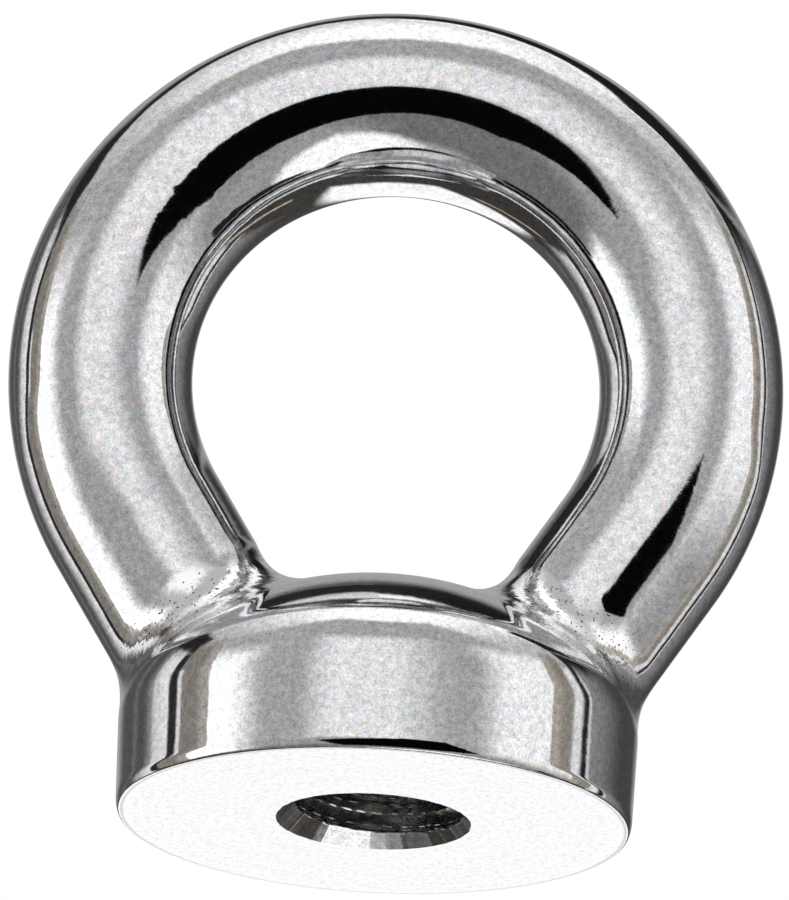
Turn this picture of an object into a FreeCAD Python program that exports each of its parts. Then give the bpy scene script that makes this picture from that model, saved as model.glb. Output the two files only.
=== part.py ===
import FreeCAD, Part
import math
import os

# An eye nut for deck rigging, forged in one piece: a closed eye of round bar
# stands on a round base, which is drilled blind and tapped from below.
# The origin is the centre of the base's underside. +Z points up through the
# eye, the eye's width lies along X, and a line passes through it along Y.

# Driving dimensions, in millimetres and degrees

# The base
BASE_DIAMETER = 22.0  # across the underside
BASE_DRAFT = 1.2  # the side leans outwards by this as it rises
SHOULDER_HEIGHT = 5.4  # underside to the corner that the side and the crown would make
CROWN_HEIGHT = 10.4  # underside to the top of the crown, the floor of the eye
RIM_RADIUS = 3.6  # rounds that corner
UNDERSIDE_CHAMFER = 0.25  # height of the broken edge round the underside
UNDERSIDE_CHAMFER_WIDTH = 0.2

# The eye
EYE_DIAMETER = 17.4  # clear width inside the bar
EYE_CENTRE_HEIGHT = 19.4  # underside to the centre of the eye
BAR_DIAMETER = 7.9
LEG_LEAN = 32.0  # each straight leg leans in towards the base by this
FOOT_RADIUS = 6.0  # a leg's outer edge bends upright through this radius
FOOT_INSET = 0.3  # that edge ends this far inside the base's side
BLEND_RADIUS = 2.2  # fillet all round each leg, where it meets the base

# The threaded hole
THREAD_DIAMETER = 8.0
THREAD_PITCH = 1.25
COUNTERSINK_MARGIN = 0.4  # the countersink's mouth is this much wider than the thread
COUNTERSINK_ANGLE = 90.0  # included
DRILL_POINT_ANGLE = 118.0  # included
HOLE_ROOF = 1.35  # metal left between the drill's point and the floor of the eye

SMOOTH_JOIN = 0.02  # faces whose unit normals differ by less than this join smoothly
PROBE = 0.02  # how far beside an edge its corner is tested for metal

AXIS = FreeCAD.Vector(0, 0, 1)


def in_plane_x(x, z):
    """A point of the middle plane that the eye's bar is bent in."""
    return FreeCAD.Vector(x, 0, z)


def in_plane_y(y, z):
    """A point of the plane that round profiles are drawn in."""
    return FreeCAD.Vector(0, y, z)


def line(start, end):
    return Part.LineSegment(start, end).toShape()


def arc(centre, start, end):
    """The shorter arc about a centre, from one point to another."""
    to_middle = (start - centre) + (end - centre)
    middle = centre + to_middle * ((start - centre).Length / to_middle.Length)
    return Part.Arc(start, middle, end).toShape()


def side_radius(height):
    """Radius of the base's drafted side at a height."""
    return BASE_DIAMETER / 2 + height * math.tan(math.radians(BASE_DRAFT))


def turned(edges):
    """The solid made by turning a closed profile once about the Z axis."""
    profile = Part.Face(Part.Wire(edges))
    return profile.revolve(FreeCAD.Vector(0, 0, 0), AXIS, 360)


def ball_top(centre, radius, height):
    """What a ball has above a height. It lies on its side, with its poles well below that."""
    ball = Part.makeSphere(radius, centre, FreeCAD.Vector(1, 0, 0))
    corner = FreeCAD.Vector(-radius, -radius, height)
    return ball.common(Part.makeBox(2 * radius, 2 * radius, 2 * radius, corner))


def base():
    """The round base: flat underside, drafted side, rounded rim and crowned top.

    Its profile is drawn in the plane of Y, so that the seam of the turned
    faces stays clear of the legs.
    """
    draft = math.radians(BASE_DRAFT)
    side_normal = in_plane_y(math.cos(draft), -math.sin(draft))

    # The crown is part of a sphere through the shoulder's corner and the top
    rise = CROWN_HEIGHT - SHOULDER_HEIGHT
    corner_radius = side_radius(SHOULDER_HEIGHT)
    crown_radius = (corner_radius**2 + rise**2) / (2 * rise)
    crown_centre = in_plane_y(0, CROWN_HEIGHT - crown_radius)

    # The rim's arc touches the side from within and the crown's sphere from below
    reach = crown_radius - RIM_RADIUS
    inset_side = in_plane_y(side_radius(0), 0) - side_normal * RIM_RADIUS
    up_side = in_plane_y(math.sin(draft), math.cos(draft))
    to_start = inset_side - crown_centre
    along = -to_start.dot(up_side) + math.sqrt(
        to_start.dot(up_side) ** 2 - to_start.dot(to_start) + reach**2
    )
    rim_centre = inset_side + up_side * along
    rim_start = rim_centre + side_normal * RIM_RADIUS
    outwards = rim_centre - crown_centre
    rim_end = rim_centre + outwards * (RIM_RADIUS / outwards.Length)

    edge_end = in_plane_y(side_radius(UNDERSIDE_CHAMFER), UNDERSIDE_CHAMFER)
    edge_start = in_plane_y(edge_end.y - UNDERSIDE_CHAMFER_WIDTH, 0)
    middle = in_plane_y(0, rim_end.z)
    bottom = in_plane_y(0, 0)
    below_crown = turned([
        line(bottom, edge_start),
        line(edge_start, edge_end),
        line(edge_end, rim_start),
        arc(rim_centre, rim_start, rim_end),
        line(rim_end, middle),
        line(middle, bottom),
    ])
    return below_crown.fuse(ball_top(crown_centre, crown_radius, rim_end.z)).Solids[0]


def eye():
    """The bar of the eye, from one buried foot over the top to the other.

    Its middle line is a ring open at the bottom, two straight legs that
    leave the ring without a corner, and a bend at each foot that brings the
    bar upright just inside the base's side.
    """
    lean = math.radians(LEG_LEAN)
    bar_radius = BAR_DIAMETER / 2
    ring_radius = (EYE_DIAMETER + BAR_DIAMETER) / 2
    outer_radius = ring_radius + bar_radius
    leg_normal = in_plane_x(math.cos(lean), -math.sin(lean))
    ring_centre = in_plane_x(0, EYE_CENTRE_HEIGHT)

    # The outer edge of a leg meets the upright line it bends into at this height
    upright = side_radius(SHOULDER_HEIGHT) - FOOT_INSET
    meeting = EYE_CENTRE_HEIGHT - (outer_radius - upright * math.cos(lean)) / math.sin(lean)
    foot_height = meeting - FOOT_RADIUS * math.tan(lean / 2)
    bend_centre = in_plane_x(upright + FOOT_RADIUS, foot_height)
    bend_radius = FOOT_RADIUS + bar_radius

    leg_top = ring_centre + leg_normal * ring_radius
    leg_bottom = bend_centre - leg_normal * bend_radius
    foot = in_plane_x(upright - bar_radius, foot_height)
    root = in_plane_x(foot.x, min(foot_height, SHOULDER_HEIGHT) / 2)
    crest = ring_centre + in_plane_x(0, ring_radius)

    def other(point):
        return in_plane_x(-point.x, point.z)

    middle_line = Part.Wire([
        line(other(root), other(foot)),
        arc(other(bend_centre), other(foot), other(leg_bottom)),
        line(other(leg_bottom), other(leg_top)),
        Part.Arc(other(leg_top), crest, leg_top).toShape(),
        line(leg_top, leg_bottom),
        arc(bend_centre, leg_bottom, foot),
        line(foot, root),
    ])
    section = Part.Wire([Part.Circle(other(root), AXIS, bar_radius).toShape()])
    make_solid, is_frenet = True, False
    return middle_line.makePipeShell([section], make_solid, is_frenet)


def inner_corners(solid):
    """The edges where two faces meet in a hollow corner."""
    corners = []
    for edge in solid.Edges:
        faces = solid.ancestorsOfType(edge, Part.Face)
        if edge.Degenerated or len(faces) != 2:
            continue
        point = edge.valueAt((edge.FirstParameter + edge.LastParameter) / 2)
        normals = [face.normalAt(*face.Surface.parameter(point)) for face in faces]
        across = normals[0] - normals[1]
        if across.Length < SMOOTH_JOIN:
            continue
        beside = point + across * (PROBE / across.Length)
        if solid.isInside(beside, PROBE / 1000, True):
            corners.append(edge)
    return corners


def forging():
    """The base and the eye as one piece, with a fillet where they meet."""
    joined = base().fuse(eye()).Solids[0]
    return joined.makeFillet(BLEND_RADIUS, inner_corners(joined)).Solids[0]


def hole():
    """What the drill and the countersink take out, from below the underside up."""
    radius = (THREAD_DIAMETER - THREAD_PITCH) / 2
    mouth_radius = (THREAD_DIAMETER + COUNTERSINK_MARGIN) / 2
    slope = math.tan(math.radians(COUNTERSINK_ANGLE / 2))
    countersink_depth = (mouth_radius - radius) / slope
    point_height = radius / math.tan(math.radians(DRILL_POINT_ANGLE / 2))
    tip = CROWN_HEIGHT - HOLE_ROOF

    # The cutter starts one radius below the underside, so that it cuts clean through it
    start = -radius
    return turned([
        line(in_plane_y(0, start), in_plane_y(mouth_radius - start * slope, start)),
        line(in_plane_y(mouth_radius - start * slope, start), in_plane_y(radius, countersink_depth)),
        line(in_plane_y(radius, countersink_depth), in_plane_y(radius, tip - point_height)),
        line(in_plane_y(radius, tip - point_height), in_plane_y(0, tip)),
        line(in_plane_y(0, tip), in_plane_y(0, start)),
    ])


def eye_nut():
    return forging().cut(hole()).Solids[0]


os.makedirs("parts", exist_ok=True)
eye_nut().exportStep("parts/eye_nut.step")
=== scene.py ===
"""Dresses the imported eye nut: the polished forging, its threaded hole, and the studio round it.

The forging is modelled in millimetres and brought to metres when its shape is done. +Z points up
through the eye, the eye's width lies along X, and the camera stands on the side of -Y.
"""

import logging
import math
from dataclasses import dataclass, field, replace
from enum import Enum

import bpy
import numpy as np
from mathutils import Matrix, Vector


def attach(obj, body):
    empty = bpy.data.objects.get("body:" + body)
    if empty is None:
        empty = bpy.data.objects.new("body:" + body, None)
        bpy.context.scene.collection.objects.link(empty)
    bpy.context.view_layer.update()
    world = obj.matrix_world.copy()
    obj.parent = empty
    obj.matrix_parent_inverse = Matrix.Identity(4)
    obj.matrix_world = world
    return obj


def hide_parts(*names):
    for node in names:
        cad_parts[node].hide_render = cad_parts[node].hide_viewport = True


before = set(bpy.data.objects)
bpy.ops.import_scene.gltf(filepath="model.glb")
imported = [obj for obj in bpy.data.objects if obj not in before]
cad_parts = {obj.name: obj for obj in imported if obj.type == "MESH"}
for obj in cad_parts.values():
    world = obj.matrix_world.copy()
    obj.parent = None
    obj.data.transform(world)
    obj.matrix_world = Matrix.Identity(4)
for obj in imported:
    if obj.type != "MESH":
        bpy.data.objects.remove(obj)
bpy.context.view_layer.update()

logging.basicConfig(level=logging.INFO, format="%(name)s: %(message)s")
log = logging.getLogger("eye_nut")

METRES_PER_MM = 0.001
METRES_PER_MICRON = 1e-6
TINY = 1e-9
LEVEL = 0.001  # millimetres within which points are welded, or count as level
HOLLOW = "hollow"

Sockets = dict[str, bpy.types.NodeSocket]


class Zone(Enum):
    """The surfaces of the nut that were finished in different ways, by material slot."""

    POLISHED = 0
    TURNED = 1
    COUNTERSUNK = 2
    TAPPED = 3


def deselect_all() -> None:
    """Leaves nothing selected and no object in edit mode."""
    if bpy.context.object is not None and bpy.context.object.mode != "OBJECT":
        bpy.ops.object.mode_set(mode="OBJECT")
    bpy.ops.object.select_all(action="DESELECT")


def select_open_rims() -> None:
    """Selects the open rims of the mesh in edit mode, and nothing else."""
    bpy.ops.mesh.select_mode(type="EDGE")
    bpy.ops.mesh.select_all(action="DESELECT")
    bpy.ops.mesh.select_non_manifold(extend=False, use_wire=False, use_multi_face=False, use_verts=False)


def select_above(obj: bpy.types.Object, height: float) -> None:
    """Enters edit mode with what lies above a height selected.

    Args:
        obj: The active object.
        height: The height, just under the lowest vertices to select.
    """
    bpy.ops.object.mode_set(mode="EDIT")
    bpy.ops.mesh.select_mode(type="VERT")
    bpy.ops.mesh.select_all(action="DESELECT")
    bpy.ops.object.mode_set(mode="OBJECT")
    obj.data.vertices.foreach_set("select", vertices_of(obj)[:, 2] > height)
    bpy.ops.object.mode_set(mode="EDIT")


def carry_rim(profile: list[tuple[float, float]]) -> None:
    """Extrudes the selected round rim along a turned profile.

    Args:
        profile: Radius and height of the rim now, and then of each ring to make.
    """
    for (radius, height), (next_radius, next_height) in zip(profile, profile[1:]):
        bpy.ops.mesh.extrude_region_move()
        ratio = next_radius / radius
        bpy.ops.transform.resize(value=(ratio, ratio, 1), center_override=(0, 0, 0))
        bpy.ops.transform.translate(value=(0, 0, next_height - height))


def vertices_of(obj: bpy.types.Object) -> np.ndarray:
    """Reads the places of an object's vertices.

    Args:
        obj: The object.

    Returns:
        The places, one row each.
    """
    flat = np.empty(len(obj.data.vertices) * 3)
    obj.data.vertices.foreach_get("co", flat)
    return flat.reshape(-1, 3)


def edge_ends(obj: bpy.types.Object) -> tuple[np.ndarray, np.ndarray]:
    """Reads which vertices the edges of an object join.

    Args:
        obj: The object.

    Returns:
        The numbers of the first and of the second vertex of each edge.
    """
    ends = np.empty(len(obj.data.edges) * 2, dtype=int)
    obj.data.edges.foreach_get("vertices", ends)
    first, second = ends.reshape(-1, 2).T
    return first, second


def place_vertices(obj: bpy.types.Object, places: np.ndarray) -> None:
    """Moves an object's vertices.

    Args:
        obj: The object.
        places: The new places, one row each.
    """
    obj.data.vertices.foreach_set("co", places.ravel())
    obj.data.update()


@dataclass(frozen=True)
class BarForm:
    """The round bar of the eye, about a middle line that lies in the plane of X and Z.

    The middle line is a ring open at the bottom, two straight legs, and a bend at each foot that
    brings the bar upright inside the base.
    """

    diameter: float = 7.868
    eye_diameter: float = 17.432
    eye_height: float = 19.4
    lean: float = math.radians(32.0)
    upright: float = 10.813
    foot_radius: float = 6.0
    root_height: float = 1.85

    @property
    def radius(self) -> float:
        """Radius of the bar."""
        return self.diameter / 2

    @property
    def ring_radius(self) -> float:
        """Radius of the ring's middle line."""
        return (self.eye_diameter + self.diameter) / 2

    @property
    def leg_top(self) -> np.ndarray:
        """Where the middle line leaves the ring, as X and Z on the right side."""
        reach = self.ring_radius
        return np.array([reach * math.cos(self.lean), self.eye_height - reach * math.sin(self.lean)])

    @property
    def bend_centre(self) -> np.ndarray:
        """Centre of the bend at the right foot, as X and Z."""
        outer = self.ring_radius + self.radius
        meeting = self.eye_height - (outer - self.upright * math.cos(self.lean)) / math.sin(self.lean)
        bend_height = meeting - self.foot_radius * math.tan(self.lean / 2)
        return np.array([self.upright + self.foot_radius, bend_height])

    @property
    def bend_radius(self) -> float:
        """Radius of the bend's middle line."""
        return self.foot_radius + self.radius

    @property
    def leg_bottom(self) -> np.ndarray:
        """Where the straight leg meets the bend, as X and Z."""
        return self.bend_centre + self.bend_radius * np.array([-math.cos(self.lean), math.sin(self.lean)])

    def surface(self, places: np.ndarray) -> tuple[np.ndarray, np.ndarray]:
        """Measures how far places are outside the bar.

        Args:
            places: Points, one row each.

        Returns:
            The distance of each, and the way straight out from the bar there.
        """
        hand = np.where(places[:, 0] < 0, -1.0, 1.0)
        flat = np.stack([np.abs(places[:, 0]), places[:, 2]], axis=1)

        centre = np.array([0.0, self.eye_height])
        angle = np.arctan2(flat[:, 1] - centre[1], flat[:, 0])
        angle = np.clip(angle, -self.lean, math.pi / 2)
        on_ring = centre + self.ring_radius * np.stack([np.cos(angle), np.sin(angle)], axis=1)

        run = self.leg_bottom - self.leg_top
        share = np.clip((flat - self.leg_top) @ run / (run @ run), 0, 1)
        on_leg = self.leg_top + share[:, None] * run

        swing = flat - self.bend_centre
        turn = np.mod(np.arctan2(swing[:, 1], swing[:, 0]), 2 * math.pi)
        turn = np.clip(turn, math.pi - self.lean, math.pi)
        on_bend = self.bend_centre + self.bend_radius * np.stack([np.cos(turn), np.sin(turn)], axis=1)

        height = np.clip(flat[:, 1], self.root_height, self.bend_centre[1])
        on_post = np.stack([np.full(len(flat), self.upright - self.radius), height], axis=1)

        choices = np.stack([on_ring, on_leg, on_bend, on_post])
        nearest = np.argmin(np.linalg.norm(choices - flat, axis=2), axis=0)
        best = choices[nearest, np.arange(len(flat))]
        way = places - np.stack([hand * best[:, 0], np.zeros(len(flat)), best[:, 1]], axis=1)
        length = np.linalg.norm(way, axis=1)
        return length - self.radius, way / np.maximum(length, TINY)[:, None]


@dataclass(frozen=True)
class BaseForm:
    """The round base above its underside: drafted side, rounded rim and crowned top."""

    diameter: float = 22.0
    draft: float = math.radians(1.2)
    shoulder_height: float = 5.4
    crown_height: float = 10.4
    rim_radius: float = 3.6

    def side_radius(self, height: float) -> float:
        """Radius of the drafted side at a height."""
        return self.diameter / 2 + height * math.tan(self.draft)

    @property
    def crown_radius(self) -> float:
        """Radius of the ball that the crown is a part of."""
        rise = self.crown_height - self.shoulder_height
        return (self.side_radius(self.shoulder_height) ** 2 + rise**2) / (2 * rise)

    @property
    def ball_height(self) -> float:
        """Height of that ball's centre."""
        return self.crown_height - self.crown_radius

    @property
    def rim_centre(self) -> np.ndarray:
        """Centre of the rim's arc, as radius and height."""
        normal = np.array([math.cos(self.draft), -math.sin(self.draft)])
        along = np.array([math.sin(self.draft), math.cos(self.draft)])
        start = np.array([self.diameter / 2, 0.0]) - normal * self.rim_radius
        offset = start - np.array([0.0, self.ball_height])
        reach = self.crown_radius - self.rim_radius
        climb = -offset @ along + math.sqrt((offset @ along) ** 2 - offset @ offset + reach**2)
        return start + along * climb

    def profile(self, steps: int) -> list[tuple[float, float]]:
        """Gives the rim and the crown as radius and height, from the side up to near the middle.

        Args:
            steps: How many rings each of the two arcs gets.

        Returns:
            One radius and height for each ring.
        """
        centre, ball = self.rim_centre, np.array([0.0, self.ball_height])
        top = math.atan2(centre[1] - self.ball_height, centre[0])
        rim = [
            centre + self.rim_radius * np.array([math.cos(turn), math.sin(turn)])
            for turn in np.linspace(-self.draft, top, steps)
        ]
        crown = [
            ball + self.crown_radius * np.array([math.cos(turn), math.sin(turn)])
            for turn in np.linspace(top, math.pi / 2, steps + 1)[1:-1]
        ]
        return [(float(radius), float(height)) for radius, height in rim + crown]

    def surface(self, places: np.ndarray) -> tuple[np.ndarray, np.ndarray]:
        """Measures how far places are outside the base.

        Args:
            places: Points, one row each.

        Returns:
            The distance of each, and the way straight out from the base there.
        """
        reach = np.maximum(np.hypot(places[:, 0], places[:, 1]), TINY)
        flat = np.stack([reach, places[:, 2]], axis=1)

        side_normal = np.array([math.cos(self.draft), -math.sin(self.draft)])
        from_side = (flat - np.array([self.diameter / 2, 0.0])) @ side_normal

        from_ball = flat - np.array([0.0, self.ball_height])
        ball_length = np.linalg.norm(from_ball, axis=1)
        ball_normal = from_ball / np.maximum(ball_length, TINY)[:, None]
        from_crown = ball_length - self.crown_radius

        centre = self.rim_centre
        from_rim = flat - centre
        rim_length = np.maximum(np.linalg.norm(from_rim, axis=1), TINY)
        outwards = centre - np.array([0.0, self.ball_height])
        past_side = from_rim @ np.array([math.sin(self.draft), math.cos(self.draft)]) > 0
        past_crown = from_rim @ np.array([outwards[1], -outwards[0]]) > 0
        at_rim = past_side & past_crown

        distance = np.where(at_rim, rim_length - self.rim_radius, np.maximum(from_side, from_crown))
        normal = np.where((from_side > from_crown)[:, None], side_normal, ball_normal)
        normal = np.where(at_rim[:, None], from_rim / rim_length[:, None], normal)
        around = places[:, :2] / reach[:, None]
        return distance, np.column_stack([around * normal[:, :1], normal[:, 1]])


@dataclass(frozen=True)
class ForgingForm:
    """The bar and the base as one form, with a hollow fillet all round each leg.

    The fillet is what a ball leaves free when it rolls round the corner between bar and base.
    Places where larger balls are stopped too are ever deeper down in the hollow. Reaches are in
    the ball's own radius.
    """

    bar: BarForm = field(default_factory=BarForm)
    base: BaseForm = field(default_factory=BaseForm)
    blend_radius: float = 2.2
    ball_reach: float = 2.0
    stopped_reach: float = 1.6
    rolls: int = 14
    longest_roll: float = 1.2
    rest_gap: float = 0.001
    flattest_corner: float = 0.02
    larger_balls: tuple[float, ...] = (2.2, 3.0, 4.0, 5.2)

    def surface(self, places: np.ndarray) -> tuple[np.ndarray, np.ndarray]:
        """Measures how far places near the surface are outside the forging.

        Args:
            places: Points, one row each.

        Returns:
            The distance of each, and the way straight out from the forging there.
        """
        from_bar, bar_way = self.bar.surface(places)
        from_base, base_way = self.base.surface(places)
        distance = np.minimum(from_bar, from_base)
        way = np.where((from_bar < from_base)[:, None], bar_way, base_way)

        reach = self.ball_reach * self.blend_radius
        near = np.maximum(from_bar, from_base) < reach
        spots = places[near]
        ball, touching = self.roll_ball(spots)
        to_ball = ball - spots
        length = np.linalg.norm(to_ball, axis=1)
        touching &= length < reach
        chosen = np.flatnonzero(near)[touching]
        distance[chosen] = self.blend_radius - length[touching]
        way[chosen] = to_ball[touching] / np.maximum(length[touching], TINY)[:, None]
        return distance, way

    def roll_ball(self, spots: np.ndarray) -> tuple[np.ndarray, np.ndarray]:
        """Finds where the ball that makes the fillet rests beside each place.

        Args:
            spots: Points, one row each.

        Returns:
            The ball's centre for each, and whether the place lies between the ball's two
            points of contact.
        """
        ball = spots.copy()
        for _ in range(self.rolls):
            from_bar, bar_way = self.bar.surface(ball)
            from_base, base_way = self.base.surface(ball)
            tangent = np.cross(bar_way, base_way)
            openness = np.maximum(np.sum(tangent**2, axis=1), self.flattest_corner)
            shared = np.sum(bar_way * base_way, axis=1)
            bar_gap = self.blend_radius - from_bar
            base_gap = self.blend_radius - from_base
            step = (
                ((bar_gap - shared * base_gap) / openness)[:, None] * bar_way
                + ((base_gap - shared * bar_gap) / openness)[:, None] * base_way
                + (np.sum((spots - ball) * tangent, axis=1) / openness)[:, None] * tangent
            )
            length = np.linalg.norm(step, axis=1)
            ball = ball + step * np.minimum(1, self.longest_roll / np.maximum(length, TINY))[:, None]

        back = spots - ball
        from_bar_side = -(np.sum(back * bar_way, axis=1) - shared * np.sum(back * base_way, axis=1))
        from_base_side = -(np.sum(back * base_way, axis=1) - shared * np.sum(back * bar_way, axis=1))
        rests = np.maximum(np.abs(bar_gap), np.abs(base_gap)) < self.rest_gap
        corner = np.sum(tangent**2, axis=1) > self.flattest_corner
        return ball, rests & corner & (from_bar_side >= 0) & (from_base_side >= 0)

    def hollowness(self, places: np.ndarray) -> np.ndarray:
        """Says how far places on the surface are down in the hollow corner round a leg.

        Args:
            places: Points on the surface, one row each.

        Returns:
            The share of ever larger balls that are stopped by the corner there.
        """
        stopped = np.zeros(len(places))
        gap = np.maximum(self.bar.surface(places)[0], self.base.surface(places)[0])
        for size in self.larger_balls:
            near = np.flatnonzero(gap < self.ball_reach * size)
            ball, touching = replace(self, blend_radius=size).roll_ball(places[near])
            touching &= np.linalg.norm(ball - places[near], axis=1) < self.stopped_reach * size
            stopped[near[touching]] += 1 / len(self.larger_balls)
        return stopped

    def settle(self, places: np.ndarray, times: int) -> np.ndarray:
        """Moves places straight onto the surface.

        Args:
            places: Points near the surface, one row each.
            times: How often each is moved.

        Returns:
            The new places.
        """
        for _ in range(times):
            distance, way = self.surface(places)
            places = places - distance[:, None] * way
        return places


@dataclass(frozen=True)
class HoleForm:
    """The threaded hole: a countersink cut with chatter, a metric thread and the drill's point.

    The rings that its wall is made of lie closer together up to fine_end. The point's cone would
    reach tip_height, but ends before it in a small flat, as the drill's web leaves it.
    """

    pitch: float = 1.25
    crest_radius: float = 3.375
    root_radius: float = 4.0
    mouth_radius: float = 4.2
    thread_end: float = 6.2
    bore_end: float = 7.02
    tip_height: float = 9.05
    crest_width: float = 0.34
    root_width: float = 0.17
    facets: int = 36
    columns_per_facet: int = 5
    chatter: float = 0.05
    fine_end: float = 2.6
    fine_step: float = 0.04
    coarse_step: float = 0.1
    seed: int = 8
    point_shares: tuple[float, ...] = (0, 0.3, 0.6, 0.85)

    @property
    def countersink_depth(self) -> float:
        """Height up to which the countersink reaches, with its sides at 45 degrees."""
        return self.mouth_radius - self.crest_radius

    def point(self) -> list[tuple[float, float]]:
        """Gives the drill's point as radius and height, up to its flat.

        Returns:
            One radius and height for each ring.
        """
        radius, rise = self.crest_radius, self.tip_height - self.bore_end
        return [(radius * (1 - share), self.bore_end + rise * share) for share in self.point_shares]

    def heights(self) -> np.ndarray:
        """Gives the rings that the wall is made of.

        Returns:
            The height of each, from the mouth up.
        """
        fine = np.arange(0, self.fine_end, self.fine_step)
        coarse = np.arange(self.fine_end, self.bore_end, self.coarse_step)
        return np.concatenate([fine, coarse, [self.bore_end]])

    def thread_radius(self, angle: np.ndarray, height: np.ndarray) -> np.ndarray:
        """Gives the radius of the tapped wall, flat on its crests and in its roots.

        Args:
            angle: Angles about the axis.
            height: Heights above the underside.

        Returns:
            The wall's radius at each angle and height.
        """
        turn = height / self.pitch - angle / (2 * math.pi)
        from_crest = np.abs(turn - np.round(turn)) * self.pitch
        flank_start = self.crest_width / 2
        flank_end = self.pitch / 2 - self.root_width / 2
        share = np.clip((from_crest - flank_start) / (flank_end - flank_start), 0, 1)
        share = share * np.clip((self.thread_end - height) / self.pitch, 0, 1)
        return self.crest_radius + (self.root_radius - self.crest_radius) * share

    def countersink_radius(self, angle: np.ndarray, height: np.ndarray) -> np.ndarray:
        """Gives the radius of the countersink, which chattered and left flat facets.

        Args:
            angle: Angles about the axis.
            height: Heights above the underside.

        Returns:
            The cone's radius at each angle and height.
        """
        rng = np.random.default_rng(self.seed)
        corner = self.mouth_radius - rng.uniform(0, self.chatter, self.facets)
        width = 2 * math.pi / self.facets
        place = angle / width
        first = np.floor(place + TINY).astype(int)
        share = place - first
        near, far = corner[first % self.facets], corner[(first + 1) % self.facets]
        # A flat facet is the straight line between its two corners, as a radius at this angle
        chord = near * far * math.sin(width)
        chord = chord / (far * np.sin(share * width) + near * np.sin((1 - share) * width))
        return chord - height

    def wall_radius(self, angle: np.ndarray, height: np.ndarray) -> np.ndarray:
        """Gives the radius of the whole wall: the wider of the countersink and the thread."""
        return np.maximum(self.countersink_radius(angle, height), self.thread_radius(angle, height))


@dataclass(frozen=True)
class Neighbours:
    """Which vertices of a mesh share an edge."""

    first: np.ndarray
    second: np.ndarray
    count: np.ndarray

    @classmethod
    def of(cls, obj: bpy.types.Object) -> "Neighbours":
        """Reads them from an object's mesh.

        Args:
            obj: The object.

        Returns:
            Its neighbours.
        """
        first, second = edge_ends(obj)
        count = np.bincount(np.concatenate([first, second]), minlength=len(obj.data.vertices))
        return cls(first, second, count)

    def mean(self, values: np.ndarray) -> np.ndarray:
        """Takes the mean over each vertex's neighbours.

        Args:
            values: One row for each vertex.

        Returns:
            The means, row by row.
        """
        total = np.zeros_like(values)
        for column in range(values.shape[1]):
            total[:, column] += np.bincount(self.first, values[self.second, column], len(values))
            total[:, column] += np.bincount(self.second, values[self.first, column], len(values))
        return total / np.maximum(self.count, 1)[:, None]


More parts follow.
